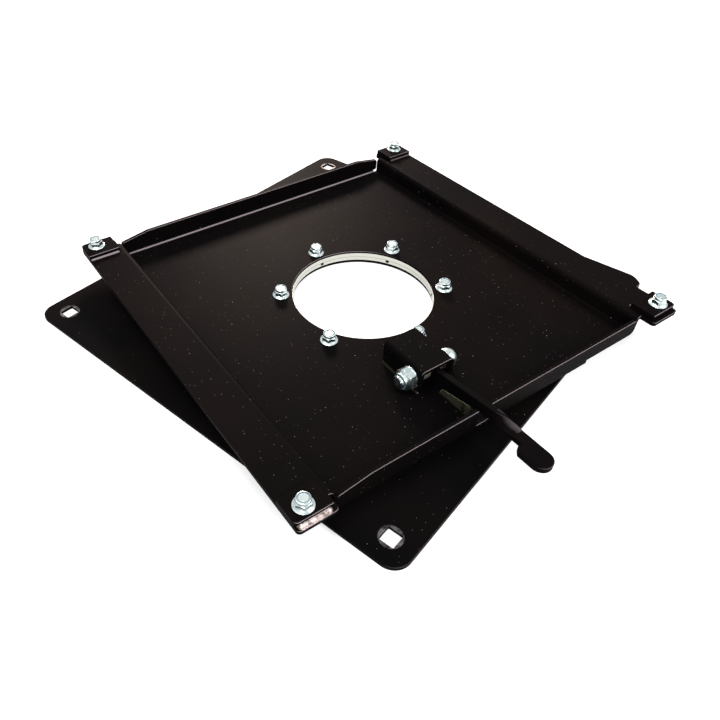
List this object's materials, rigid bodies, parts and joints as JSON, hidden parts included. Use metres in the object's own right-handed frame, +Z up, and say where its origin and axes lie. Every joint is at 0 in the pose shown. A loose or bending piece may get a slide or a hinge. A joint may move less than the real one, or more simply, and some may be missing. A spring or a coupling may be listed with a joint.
{
  "type": "swivel seat base",
  "caption": "Turntable for a camper seat: square base plate, ball race and folded pan with raised seat pads and a hand lever that frees the turn.",
  "frame": {"origin": "on the swivel axis, at the underside of the base plate", "axes": "+Z up along the swivel axis, -Y to the front where the lever is, +X to the right along the line through the front seat pads"},
  "size_m": [0.4592, 0.458, 0.0382],
  "materials": {
    "black_base": "satin black powder coat",
    "black_pan": "satin black powder coat",
    "zinc_race": "turned steel, zinc plated",
    "ball_steel": "polished steel",
    "cage_nylon": "moulded nylon",
    "zinc_fastener": "bright zinc plate, pale blue tint",
    "nut_nylon": "blue nylon ring",
    "zinc_spacer": "yellow zinc plate",
    "zinc_lock": "dull zinc plate"
  },
  "bodies": {
    "base": {"base_plate": "black_base", "outer_race": "zinc_race", "race_rivets": "zinc_race", "bearing_balls": "ball_steel", "ball_cage": "cage_nylon"},
    "upper": {"inner_race_lower": "zinc_race", "inner_race_upper": "zinc_race", "seat_pan": "black_pan", "pad_front_left": "black_pan", "pad_front_right": "black_pan", "pad_back_left": "black_pan", "pad_back_right": "black_pan", "race_screws": "zinc_fastener", "race_nuts": "zinc_fastener", "race_nut_inserts": "nut_nylon", "seat_bolts": "zinc_fastener", "seat_nuts": "zinc_fastener", "seat_nut_inserts": "nut_nylon", "lever_bracket": "black_pan", "pivot_bolt": "zinc_fastener", "pivot_washer": "zinc_fastener", "pivot_nut": "zinc_fastener", "pivot_nut_insert": "nut_nylon", "spacer_left": "zinc_spacer", "spacer_right": "zinc_spacer"},
    "lever": {"release_lever": "black_pan", "lock_plate": "zinc_lock"}
  },
  "joints": [
    {"name": "swivel", "type": "hinge", "parent": "base", "child": "upper", "pos_m": [0, 0, 0], "axis": [0, 0, 1], "continuous": true},
    {"name": "release", "type": "hinge", "parent": "upper", "child": "lever", "pos_m": [-0.0246, -0.108, 0.0212], "axis": [-1, 0, 0], "range_deg": [0, 6]}
  ]
}
